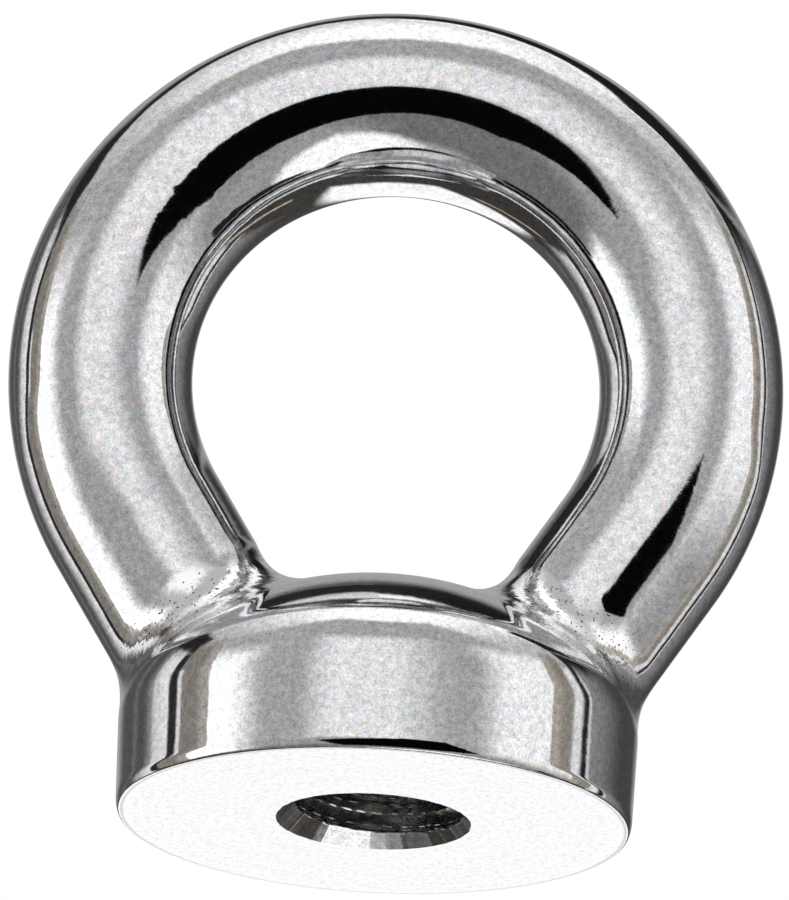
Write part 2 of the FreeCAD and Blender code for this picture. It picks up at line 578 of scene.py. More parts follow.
@dataclass
class EyeNut:
    """The forged, turned, drilled, tapped and polished eye nut.

    Polishing softens the form where more than polish_start of the larger balls are stopped.
    """

    name: str = "eye_nut_forging"
    form: ForgingForm = field(default_factory=ForgingForm)
    hole: HoleForm = field(default_factory=HoleForm)
    bar_sides: int = 72
    ring_steps: int = 60
    bend_steps: int = 12
    base_sides: int = 180
    base_steps: int = 12
    voxel: float = 0.26
    relaxes: int = 10
    polishes: int = 140
    polish_step: float = 0.5
    polish_start: float = 0.55
    cut_height: float = 0.9
    edge_radius: float = 1.2
    edge_turn: float = math.radians(22.0)
    corner_radius: float = 0.13
    edge_steps: int = 7
    underside_rings: tuple[float, ...] = (10.2, 8.6, 6.8, 5.4)
    margin: float = 0.01
    facet_sag: float = 0.03  # how much nearer to the axis a facet's middle is than its corners
    smooth_angle: float = math.radians(35.0)

    def build(self) -> bpy.types.Object:
        """Models the whole nut.

        Returns:
            The nut, in metres.
        """
        body = self.remeshed(self.joined([self.bar_blank(), self.base_blank()]))
        self.settle(body)
        self.turn_underside(body)
        nut = self.joined([body, self.hole_wall()])
        self.close_underside(nut)
        self.finish_faces(nut)
        nut.name = self.name
        nut.data.name = self.name
        log.info("%s: %d faces", nut.name, len(nut.data.polygons))
        return nut

    def bar_blank(self) -> bpy.types.Object:
        """Bends a round bar: spun round the ring, drawn down the leg and bent at the foot.

        Returns:
            The bar, closed at both feet.
        """
        bar = self.form.bar
        deselect_all()
        crest = bar.eye_height + bar.ring_radius
        bpy.ops.mesh.primitive_circle_add(
            vertices=self.bar_sides,
            radius=bar.radius,
            location=(0, 0, crest),
            rotation=(0, math.pi / 2, 0),
        )
        blank = bpy.context.object
        bpy.ops.object.transform_apply(location=True, rotation=True, scale=True)
        bpy.ops.object.mode_set(mode="EDIT")
        bpy.ops.mesh.select_all(action="SELECT")
        bpy.ops.mesh.spin(
            steps=self.ring_steps,
            angle=math.pi / 2 + bar.lean,
            center=(0, 0, bar.eye_height),
            axis=(0, -1, 0),
        )
        run = bar.leg_bottom - bar.leg_top
        bpy.ops.mesh.extrude_region_move()
        bpy.ops.transform.translate(value=(run[0], 0, run[1]))
        centre = bar.bend_centre
        bpy.ops.mesh.spin(
            steps=self.bend_steps, angle=bar.lean, center=(centre[0], 0, centre[1]), axis=(0, 1, 0)
        )
        bpy.ops.mesh.extrude_region_move()
        bpy.ops.transform.translate(value=(0, 0, bar.root_height - centre[1]))
        bpy.ops.mesh.edge_face_add()
        bpy.ops.object.mode_set(mode="OBJECT")
        mirror = blank.modifiers.new("other_half", "MIRROR")
        mirror.use_axis = (True, False, False)
        mirror.merge_threshold = LEVEL
        bpy.ops.object.modifier_apply(modifier=mirror.name)
        self.point_outwards(blank)
        return blank

    def base_blank(self) -> bpy.types.Object:
        """Turns the base: a cone from below the underside, carried over the rim and the crown.

        Returns:
            The base, closed.
        """
        base = self.form.base
        depth = 2 * self.cut_height
        rings = base.profile(self.base_steps)
        start_radius, start_height = rings[0]
        deselect_all()
        bpy.ops.mesh.primitive_cone_add(
            vertices=self.base_sides,
            radius1=base.side_radius(-depth),
            radius2=start_radius,
            depth=start_height + depth,
            location=(0, 0, (start_height - depth) / 2),
        )
        blank = bpy.context.object
        bpy.ops.object.transform_apply(location=True, rotation=True, scale=True)
        select_above(blank, start_height - LEVEL)
        carry_rim(rings)
        bpy.ops.object.mode_set(mode="OBJECT")
        self.point_outwards(blank)
        return blank

    def joined(self, parts: list[bpy.types.Object]) -> bpy.types.Object:
        """Makes one object of several.

        Args:
            parts: The objects. The first one is kept, and the others go into it.

        Returns:
            The one object.
        """
        deselect_all()
        for part in parts:
            part.select_set(True)
        bpy.context.view_layer.objects.active = parts[0]
        bpy.ops.object.join()
        return bpy.context.object

    def remeshed(self, obj: bpy.types.Object) -> bpy.types.Object:
        """Gives the joined blanks one even skin.

        Args:
            obj: The blanks, as one active object.

        Returns:
            The same object.
        """
        skin = obj.modifiers.new("one_skin", "REMESH")
        skin.mode = "VOXEL"
        skin.voxel_size = self.voxel
        bpy.ops.object.modifier_apply(modifier=skin.name)
        return obj

    def settle(self, body: bpy.types.Object) -> None:
        """Lays the skin on the exact form, evens out its faces along it, and softens its hollows.

        Args:
            body: The skin, whose vertices also get their hollowness as an attribute.
        """
        near = Neighbours.of(body)
        places = self.form.settle(vertices_of(body), times=4)
        for _ in range(self.relaxes):
            places = self.form.settle((places + near.mean(places)) / 2, times=1)
        places = self.form.settle(places, times=2)

        hollow = self.form.hollowness(places)[:, None]
        for _ in range(self.relaxes):
            hollow = near.mean(hollow)
        worn = np.clip((hollow - self.polish_start) / (1 - self.polish_start), 0, 1)
        for _ in range(self.polishes):
            places = places + self.polish_step * worn * (near.mean(places) - places)
        place_vertices(body, places)
        attribute = body.data.attributes.new(HOLLOW, "FLOAT", "POINT")
        attribute.data.foreach_set("value", hollow.ravel())

    def turn_underside(self, body: bpy.types.Object) -> None:
        """Cuts the body off above its edge, and carries the rim down, round the edge and inwards.

        Args:
            body: The skin, which goes on below the underside.
        """
        base = self.form.base
        bpy.ops.object.mode_set(mode="EDIT")
        bpy.ops.mesh.select_all(action="SELECT")
        bpy.ops.mesh.bisect(plane_co=(0, 0, self.cut_height), plane_no=(0, 0, 1), clear_inner=True)
        select_open_rims()
        rings = [(base.side_radius(self.cut_height), self.cut_height), *self.edge_profile()]
        rings += [(ring, 0.0) for ring in self.underside_rings]
        carry_rim(rings)
        bpy.ops.object.mode_set(mode="OBJECT")

    def edge_profile(self) -> list[tuple[float, float]]:
        """Gives the edge round the underside, which polishing rolled over, as radius and height.

        Returns:
            One radius and height for each ring, from the side down to the underside.
        """
        draft, turn = self.form.base.draft, self.edge_turn
        corner_height = self.corner_radius * (1 - math.sin(turn))
        start_height = corner_height + self.edge_radius * (math.sin(turn) - math.sin(draft))
        start_radius = self.form.base.side_radius(start_height)
        edge = [
            (
                start_radius - self.edge_radius * (math.cos(draft) - math.cos(angle)),
                start_height - self.edge_radius * (math.sin(angle) - math.sin(draft)),
            )
            for angle in np.linspace(draft, turn, self.edge_steps)
        ]
        last_radius = edge[-1][0]
        corner = [
            (
                last_radius - self.corner_radius * (math.cos(turn) - math.cos(angle)),
                self.corner_radius * (1 - math.sin(angle)),
            )
            for angle in np.linspace(turn, math.pi / 2, self.edge_steps)[1:]
        ]
        return [(float(radius), float(height)) for radius, height in edge + corner]

    def hole_wall(self) -> bpy.types.Object:
        """Makes the countersunk and tapped wall, closed by the drill's point.

        Returns:
            The wall, open at its mouth.
        """
        hole = self.hole
        heights = hole.heights()
        columns = hole.facets * hole.columns_per_facet
        deselect_all()
        bpy.ops.mesh.primitive_grid_add(x_subdivisions=columns, y_subdivisions=len(heights) - 1, size=1)
        wall = bpy.context.object
        flat = vertices_of(wall)
        angle = np.round((flat[:, 0] + 0.5) * columns) * (2 * math.pi / columns)
        height = heights[np.round((flat[:, 1] + 0.5) * (len(heights) - 1)).astype(int)]
        radius = hole.wall_radius(angle, height)
        place_vertices(wall, np.column_stack([radius * np.cos(angle), radius * np.sin(angle), height]))
        bpy.ops.object.mode_set(mode="EDIT")
        bpy.ops.mesh.select_all(action="SELECT")
        bpy.ops.mesh.remove_doubles(threshold=LEVEL)
        bpy.ops.object.mode_set(mode="OBJECT")
        select_above(wall, hole.bore_end - LEVEL)
        carry_rim(hole.point())
        bpy.ops.mesh.extrude_region_move()
        bpy.ops.mesh.merge(type="CENTER")
        bpy.ops.object.mode_set(mode="OBJECT")
        return wall

    def close_underside(self, nut: bpy.types.Object) -> None:
        """Fills the flat underside up to the countersink's mouth, and points every face outwards.

        Args:
            nut: The body and the hole's wall, as one active object.
        """
        bpy.ops.object.mode_set(mode="EDIT")
        select_open_rims()
        bpy.ops.mesh.fill(use_beauty=True)
        bpy.ops.object.mode_set(mode="OBJECT")
        self.point_outwards(nut)

    def point_outwards(self, obj: bpy.types.Object) -> None:
        """Turns all faces of a closed mesh outwards.

        Args:
            obj: The mesh's object.
        """
        deselect_all()
        obj.select_set(True)
        bpy.context.view_layer.objects.active = obj
        bpy.ops.object.mode_set(mode="EDIT")
        bpy.ops.mesh.select_all(action="SELECT")
        bpy.ops.mesh.normals_make_consistent(inside=False)
        bpy.ops.object.mode_set(mode="OBJECT")

    def finish_faces(self, nut: bpy.types.Object) -> None:
        """Sorts the faces into zones, brings the nut to metres, and sets its shading.

        Args:
            nut: The closed nut, in millimetres.
        """
        hole = self.hole
        faces = nut.data.polygons
        centres = np.empty(len(faces) * 3)
        faces.foreach_get("center", centres)
        centres = centres.reshape(-1, 3)
        reach, height = np.hypot(centres[:, 0], centres[:, 1]), centres[:, 2]
        innermost_mouth = hole.mouth_radius - hole.chatter

        in_hole = (reach < hole.mouth_radius + self.margin) & (height < hole.tip_height + self.margin)
        on_cone = (reach > innermost_mouth - height - self.facet_sag) & (height < hole.countersink_depth)
        on_underside = (height < LEVEL) & (reach > innermost_mouth - LEVEL)
        zones = np.full(len(faces), Zone.POLISHED.value)
        zones[in_hole] = Zone.TAPPED.value
        zones[in_hole & on_cone] = Zone.COUNTERSUNK.value
        zones[on_underside] = Zone.TURNED.value
        faces.foreach_set("material_index", zones)

        bpy.ops.object.mode_set(mode="EDIT")
        bpy.ops.mesh.select_all(action="SELECT")
        bpy.ops.transform.resize(value=(METRES_PER_MM,) * 3, center_override=(0, 0, 0))
        bpy.ops.object.mode_set(mode="OBJECT")
        bpy.ops.object.shade_smooth_by_angle(angle=self.smooth_angle)
        self.sharpen_facets(nut)

    def sharpen_facets(self, nut: bpy.types.Object) -> None:
        """Marks the edges between the countersink's facets as sharp.

        Args:
            nut: The nut, in metres.
        """
        hole = self.hole
        places = vertices_of(nut) / METRES_PER_MM
        reach = np.hypot(places[:, 0], places[:, 1])
        angle = np.mod(np.arctan2(places[:, 1], places[:, 0]), 2 * math.pi)
        facet = angle * hole.facets / (2 * math.pi)
        on_corner = np.abs(facet - np.round(facet)) < self.margin
        on_corner &= places[:, 2] < hole.countersink_depth + hole.chatter
        on_corner &= reach < hole.mouth_radius + self.margin
        first, second = edge_ends(nut)
        same_corner = np.round(facet[first]) == np.round(facet[second])
        sharp = np.empty(len(nut.data.edges), dtype=bool)
        nut.data.edges.foreach_get("use_edge_sharp", sharp)
        sharp |= on_corner[first] & on_corner[second] & same_corner
        nut.data.edges.foreach_set("use_edge_sharp", sharp)
        nut.data.update()


class Graph:
    """A tree of nodes, with short ways to add nodes and to link them.

    What an input gets is an output of another node, or a plain number, vector or colour.
    """

    def __init__(self, tree: bpy.types.NodeTree) -> None:
        """Takes the tree to add to."""
        self.tree = tree

    def feed(self, socket: bpy.types.NodeSocket, value: object) -> None:
        """Links an output to an input, or sets a plain value there.

        Args:
            socket: The input.
            value: What it gets.
        """
        if isinstance(value, bpy.types.NodeSocket):
            self.tree.links.new(value, socket)
        else:
            socket.default_value = value

    def node(
        self, kind: str, feeds: dict[int | str, object] | None = None, **settings: object
    ) -> bpy.types.Node:
        """Adds a node.

        Args:
            kind: Blender's name for the kind of node.
            feeds: What the inputs get, by the name or the number of each.
            settings: The node's own options.

        Returns:
            The node.
        """
        made = self.tree.nodes.new(kind)
        for name, value in settings.items():
            setattr(made, name, value)
        for name, value in (feeds or {}).items():
            self.feed(made.inputs[name], value)
        return made

    def math(self, operation: str, *values: object) -> bpy.types.NodeSocket:
        """Adds a sum.

        Args:
            operation: Blender's name for the sum.
            values: What goes into it.

        Returns:
            Its result.
        """
        return self.node("ShaderNodeMath", dict(enumerate(values)), operation=operation).outputs[0]

    def remap(
        self, value: object, start: float, end: float, low: float = 0.0, high: float = 1.0
    ) -> bpy.types.NodeSocket:
        """Maps a value from one range to another with soft ends, and keeps it inside.

        Args:
            value: The value.
            start: Where its own range starts.
            end: Where its own range ends.
            low: What the start becomes.
            high: What the end becomes.

        Returns:
            The new value.
        """
        feeds = {"Value": value, "From Min": start, "From Max": end, "To Min": low, "To Max": high}
        return self.node("ShaderNodeMapRange", feeds, interpolation_type="SMOOTHSTEP").outputs["Result"]

    def millimetres(self) -> bpy.types.NodeSocket:
        """Gives the place on the piece.

        Returns:
            The place, in millimetres.
        """
        where = self.node("ShaderNodeTexCoord").outputs["Object"]
        feeds = {0: where, "Scale": 1 / METRES_PER_MM}
        return self.node("ShaderNodeVectorMath", feeds, operation="SCALE").outputs[0]

    def noise(
        self, place: object, size: float, detail: float = 2.0, stretch: float = 0.0, result: str = "Fac"
    ) -> bpy.types.NodeSocket:
        """Adds noise.

        Args:
            place: Where, in millimetres.
            size: Size of its blotches, in millimetres.
            detail: How many finer layers it has.
            stretch: How much it is distorted.
            result: The output to take.

        Returns:
            Values or colours from 0 to 1 about a middle of 0.5.
        """
        feeds = {"Vector": place, "Scale": 1 / size, "Detail": detail, "Distortion": stretch}
        return self.node("ShaderNodeTexNoise", feeds).outputs[result]

    def tint(
        self, factor: object, first: object, second: object, blend: str = "MIX"
    ) -> bpy.types.NodeSocket:
        """Mixes two colours.

        Args:
            factor: How much of the second colour there is.
            first: The colour below.
            second: The colour above.
            blend: Blender's name for the way to mix them.

        Returns:
            The mixed colour.
        """
        feeds = {"Factor": factor, 6: first, 7: second}
        return self.node("ShaderNodeMix", feeds, data_type="RGBA", blend_type=blend).outputs[2]


def shared_group(
    name: str, inputs: dict[str, float | tuple[float, ...]], outputs: dict[str, str]
) -> tuple[Graph, Sockets, Sockets]:
    """Starts a node group that is used more than once.

    Args:
        name: The group's name.
        inputs: Name and usual value of each input.
        outputs: Name and socket type of each output.

    Returns:
        The group's graph, its inputs and its outputs by name.
    """
    tree = bpy.data.node_groups.new(name, "ShaderNodeTree")
    for title, value in inputs.items():
        kind = "NodeSocketVector" if isinstance(value, tuple) else "NodeSocketFloat"
        tree.interface.new_socket(title, in_out="INPUT", socket_type=kind).default_value = value
    for title, kind in outputs.items():
        tree.interface.new_socket(title, in_out="OUTPUT", socket_type=kind)
    graph = Graph(tree)
    entry, leave = graph.node("NodeGroupInput"), graph.node("NodeGroupOutput")
    return (
        graph,
        {title: entry.outputs[title] for title in inputs},
        {title: leave.inputs[title] for title in outputs},
    )


class Effect(Enum):
    """The effects that the finishes share, each a node group."""

    GRAIN = "steel_grain"
    WAVES = "polishing_waves"
    TURNING = "turning_marks"
    PITS = "pits"


@dataclass(frozen=True)
class SteelEffects:
    """The marks in the steel's surface, and the groups that make them.

    Sizes, the spot's place and its reach are in millimetres. The edges of patches and pits are
    levels of noise.
    """

    grain_size: float = 0.085
    coarse_grain_size: float = 0.27
    fine_share: float = 0.45
    wave_size: float = 2.2
    ripple_size: float = 0.42
    patch_size: float = 4.0
    patch_edge: tuple[float, float] = (0.45, 0.62)
    patch_strength: tuple[float, float] = (0.2, 1.2)
    tooth_size: float = 1.3
    tooth_strength: float = 2.0
    rough_spot: tuple[float, float, float] = (-9.3, -3.3, 28.0)
    rough_reach: float = 4.5
    turning_pitch: float = 0.16
    turning_drift: float = 0.02
    turning_tones: tuple[float, float] = (0.3, 0.7)
    turned_edge: tuple[float, float] = (10.67, 10.71)
    pit_size: float = 0.15
    pit_edge: tuple[float, float] = (0.74, 0.79)

    def build(self) -> None:
        """Makes the four groups."""
        self.grain()
        self.waves()
        self.turning()
        self.pits()

    def grain(self) -> None:
        """Makes the fine grain, as a colour that the steel's own is multiplied by."""
        graph, inputs, outputs = shared_group(
            Effect.GRAIN.value,
            {"Depth": 0.5, "Colour Depth": 0.2},
            {"Tone": "NodeSocketColor", "Blotch": "NodeSocketFloat"},
        )
        place = graph.millimetres()
        fine = graph.noise(place, self.grain_size, detail=1.0)
        coarse = graph.noise(place, self.coarse_grain_size)
        coarse_part = graph.math("MULTIPLY", coarse, 1 - self.fine_share)
        mixed = graph.math("MULTIPLY_ADD", fine, self.fine_share, coarse_part)
        centred = graph.math("SUBTRACT", mixed, 0.5)
        level = graph.math("MULTIPLY_ADD", centred, inputs["Depth"], 1.0)
        speckle = graph.noise(place, self.grain_size, detail=0.0, result="Color")
        tinted = graph.tint(inputs["Colour Depth"], (0.5, 0.5, 0.5, 1), speckle)
        doubled = graph.tint(1.0, tinted, (2, 2, 2, 1), "MULTIPLY")
        tone = graph.node("ShaderNodeVectorMath", {0: doubled, "Scale": level}, operation="SCALE")
        graph.feed(outputs["Tone"], tone.outputs[0])
        graph.feed(outputs["Blotch"], coarse)

    def waves(self) -> None:
        """Makes the slight waves that polishing by hand leaves, as a height in metres.

        They are roughest in patches, and at one spot of the ring.
        """
        graph, inputs, outputs = shared_group(
            Effect.WAVES.value, {"Wave Height": 3.0, "Ripple Height": 1.0}, {"Height": "NodeSocketFloat"}
        )
        place = graph.millimetres()
        wave = graph.noise(place, self.wave_size, detail=1.0)
        ripple = graph.noise(place, self.ripple_size, detail=3.0, stretch=0.4)
        blotches = graph.noise(place, self.patch_size, detail=1.0)
        patch = graph.remap(blotches, *self.patch_edge, *self.patch_strength)
        away = graph.node("ShaderNodeVectorMath", {0: place, 1: self.rough_spot}, operation="DISTANCE")
        spot = graph.remap(
            away.outputs["Value"], self.rough_reach, self.rough_reach / 2, 0.0, self.tooth_strength
        )
        teeth = graph.noise(place, self.tooth_size, detail=1.0, stretch=0.7)
        rippled = graph.math("MULTIPLY", graph.math("MULTIPLY", ripple, patch), inputs["Ripple Height"])
        toothed = graph.math("MULTIPLY", teeth, spot)
        rough = graph.math("MULTIPLY_ADD", toothed, inputs["Wave Height"], rippled)
        microns = graph.math("MULTIPLY_ADD", wave, inputs["Wave Height"], rough)
        graph.feed(outputs["Height"], graph.math("MULTIPLY", microns, METRES_PER_MICRON))

    def turning(self) -> None:
        """Makes the rings that a cutting edge leaves round the axis, as a height in metres and a tone.

        The edge is a mask of what lies outside the turned face, which the finishes colour darker as
        painted shade.
        """
        results = dict.fromkeys(("Height", "Tone", "Edge"), "NodeSocketFloat")
        graph, inputs, outputs = shared_group(Effect.TURNING.value, {"Depth": 0.6}, results)
        split = graph.node("ShaderNodeSeparateXYZ", {0: graph.millimetres()})
        squares = [graph.math("POWER", split.outputs[axis], 2.0) for axis in ("X", "Y")]
        radius = graph.math("SQRT", graph.math("ADD", *squares))
        drift = graph.math("MULTIPLY", split.outputs["X"], self.turning_drift)
        rings = graph.node("ShaderNodeCombineXYZ", {"X": radius, "Y": drift})
        groove = graph.noise(rings.outputs[0], self.turning_pitch)
        microns = graph.math("MULTIPLY", groove, inputs["Depth"])
        graph.feed(outputs["Height"], graph.math("MULTIPLY", microns, METRES_PER_MICRON))
        graph.feed(outputs["Tone"], graph.remap(groove, *self.turning_tones))
        graph.feed(outputs["Edge"], graph.remap(radius, *self.turned_edge))

    def pits(self) -> None:
        """Makes small pits and specks, as a mask. A higher amount makes more of them."""
        graph, inputs, outputs = shared_group(
            Effect.PITS.value, {"Amount": 0.0}, {"Mask": "NodeSocketFloat"}
        )
        spots = graph.noise(graph.millimetres(), self.pit_size)
        raised = graph.math("ADD", spots, inputs["Amount"])
        graph.feed(outputs["Mask"], graph.remap(raised, *self.pit_edge))


@dataclass(frozen=True)
class HollowSkinAndHighlight:
    """The crinkled forging skin and the pits that stay in the hollows, where no wheel reaches. The skin's
    pale colour is a painted highlight along the hollows.

    Sizes are in millimetres and the height is in microns. The skin's edge is a level of hollowness
    times noise, and the pits grow by hollow_pits towards the deepest places, as painted shade there.
    """

    height: float = 16.0
    crinkle_size: float = 0.34
    blotch_size: float = 1.1
    blotch_lift: float = 0.25
    edge: tuple[float, float] = (0.52, 0.68)
    # The skin's pale colour, a painted highlight along the hollows
    shade: float = 0.93
    roughness: float = 0.08
    pit_amount: float = -0.12
    hollow_pits: float = 0.24


@dataclass(frozen=True)
class SteelFinish:
    """One finish of the nut's stainless steel: its tone, its polish and its marks.

    Heights are in microns. The amount of pits is a share that is added to noise.
    """

    name: str
    colour: tuple[float, float, float] = (0.71, 0.71, 0.72)
    roughness: float = 0.05
    uneven: float = 0.03
    grain: float = 1.55
    colour_grain: float = 0.27
    wave_height: float = 9.0
    ripple_height: float = 2.0
    turning_depth: float = 0.0
    groove_shade: float = 0.93
    # Darker colour of the rim outside the turned face, painted shade
    rim_shade_colour: tuple[float, float, float] = (0.42, 0.42, 0.44)
    pit_amount: float = -0.03
    # Near-black colour of pits and specks, painted shade in them
    pit_shade_colour: tuple[float, float, float] = (0.02, 0.019, 0.018)
    skin: HollowSkinAndHighlight | None = None

    def effect(self, graph: Graph, effect: Effect, **inputs: object) -> Sockets:
        """Adds one of the shared groups.

        Args:
            graph: The material's graph.
            effect: The effect.
            inputs: What the group's inputs get, by their names in small letters.

        Returns:
            The group's outputs, by name.
        """
        feeds = {name.replace("_", " ").title(): value for name, value in inputs.items()}
        group = graph.node("ShaderNodeGroup", feeds, node_tree=bpy.data.node_groups[effect.value])
        return {socket.name: socket for socket in group.outputs}

    def material(self) -> bpy.types.Material:
        """Makes the finish's material.

        Returns:
            The material.
        """
        made = bpy.data.materials.new(self.name)
        made.use_nodes = True
        graph = Graph(made.node_tree)
        shader = made.node_tree.nodes["Principled BSDF"]
        shader.inputs["Metallic"].default_value = 1.0
        grain = self.effect(graph, Effect.GRAIN, depth=self.grain, colour_depth=self.colour_grain)
        waves = self.effect(
            graph, Effect.WAVES, wave_height=self.wave_height, ripple_height=self.ripple_height
        )
        height = waves["Height"]
        dark = self.effect(graph, Effect.PITS, amount=self.pit_amount)["Mask"]
        colour = graph.tint(1.0, (*self.colour, 1), grain["Tone"], "MULTIPLY")
        blotch = graph.math("SUBTRACT", grain["Blotch"], 0.5)
        roughness = graph.math("MULTIPLY_ADD", blotch, 2 * self.uneven, self.roughness)
        if self.turning_depth:
            turning = self.effect(graph, Effect.TURNING, depth=self.turning_depth)
            height = graph.math("ADD", height, turning["Height"])
            shade = graph.remap(turning["Tone"], 0.0, 1.0, self.groove_shade, 1.0)
            colour = graph.tint(1.0, colour, shade, "MULTIPLY")
            # Painted shade: the rim outside the turned face is coloured darker
            colour = graph.tint(turning["Edge"], colour, (*self.rim_shade_colour, 1))
        if self.skin:
            colour, roughness, dark, raised = self.dress_hollows_and_paint_light(graph, colour, roughness, dark)
            height = graph.math("ADD", height, raised)
        bump = graph.node("ShaderNodeBump", {"Distance": 1.0, "Height": height})
        # Painted shade: pits and specks are coloured near black
        graph.feed(shader.inputs["Base Color"], graph.tint(dark, colour, (*self.pit_shade_colour, 1)))
        graph.feed(shader.inputs["Roughness"], roughness)
        graph.feed(shader.inputs["Normal"], bump.outputs["Normal"])
        return made

    def dress_hollows_and_paint_light(
        self,
        graph: Graph,
        colour: bpy.types.NodeSocket,
        roughness: bpy.types.NodeSocket,
        dark: bpy.types.NodeSocket,
    ) -> tuple[bpy.types.NodeSocket, ...]:
        """Leaves crinkled forging skin with a painted highlight, and more pits as painted shade, in the
        hollows.

        Args:
            graph: The material's graph.
            colour: The colour so far.
            roughness: The roughness so far.
            dark: The mask of dark pits so far.

        Returns:
            The new colour, roughness and mask, and the skin's height in metres.
        """
        skin = self.skin
        hollow = graph.node("ShaderNodeAttribute", attribute_name=HOLLOW).outputs["Fac"]
        place = graph.millimetres()
        blotches = graph.noise(place, skin.blotch_size, detail=3.0, stretch=0.6)
        level = graph.math("MULTIPLY", hollow, graph.math("ADD", blotches, skin.blotch_lift))
        mask = graph.remap(level, *skin.edge)
        # Painted shade: the deeper the hollow, the more near-black pits
        amount = graph.math("MULTIPLY_ADD", hollow, skin.hollow_pits, skin.pit_amount)
        pits = self.effect(graph, Effect.PITS, amount=amount)["Mask"]
        crinkle = graph.noise(place, skin.crinkle_size, detail=1.5, stretch=0.3)
        centred = graph.math("SUBTRACT", crinkle, 0.5)
        raised = graph.math(
            "MULTIPLY", graph.math("MULTIPLY", centred, mask), skin.height * METRES_PER_MICRON
        )
        # Painted highlight: the pale skin colour brightens the hollows
        colour = graph.tint(mask, colour, (skin.shade, skin.shade, skin.shade, 1))
        roughness = graph.math("MULTIPLY_ADD", mask, skin.roughness, roughness)
        return colour, roughness, graph.math("MAXIMUM", dark, pits), raised


class Side(Enum):
    """The part of the tent that a card hangs in.

    FRONT counts azimuths from -180 to 180 and BACK from 0 to 360. NEAR is like FRONT, but for cards
    that hang close by on both sides, so that the base sees them further forward than the eye does.
    """

    FRONT = 0
    BACK = 1
    NEAR = 2


@dataclass(frozen=True)
class Card:
    """A light, grey or black card of the light tent, as seen from the nut.

    Azimuth 0 is towards the camera and 90 towards +X. Corners are azimuth and elevation in degrees,
    from the lower left one round to the right. Softness is in degrees, for the lower, right, upper
    and left edge.
    """

    name: str
    corners: tuple[tuple[float, float], ...]
    shade: float
    softness: tuple[float, float, float, float] = (2.0, 2.0, 2.0, 2.0)
    warmth: float = 0.0
    side: Side = Side.FRONT

    def edges(self) -> list[tuple[float, float, float]]:
        """Gives the card's edges.

        Returns:
            For each edge a vector whose product with azimuth, elevation and one is the distance
            inside the edge, counted in its softness.
        """
        edges = []
        ends = self.corners[1:] + self.corners[:1]
        for start, end, softness in zip(self.corners, ends, self.softness):
            along = Vector(end) - Vector(start)
            inwards = Vector((-along.y, along.x)).normalized() / softness
            edges.append((inwards.x, inwards.y, -inwards.dot(Vector(start))))
        return edges


def upright_card(
    name: str,
    left: float,
    right: float,
    low: float,
    high: float,
    shade: float,
    softness: tuple[float, float, float, float] = (4.0, 0.7, 4.0, 0.7),
    warmth: float = 0.0,
    side: Side = Side.FRONT,
) -> Card:
    """Makes a card that hangs straight.

    Args:
        name: The card's name.
        left: Azimuth of its left edge.
        right: Azimuth of its right edge.
        low: Elevation of its lower edge.
        high: Elevation of its upper edge.
        shade: Its shade.
        softness: Softness of its edges.
        warmth: Its warmth.
        side: The part of the tent that it hangs in.

    Returns:
        The card.
    """
    corners = ((left, low), (right, low), (right, high), (left, high))
    return Card(name, corners, shade, softness, warmth, side)


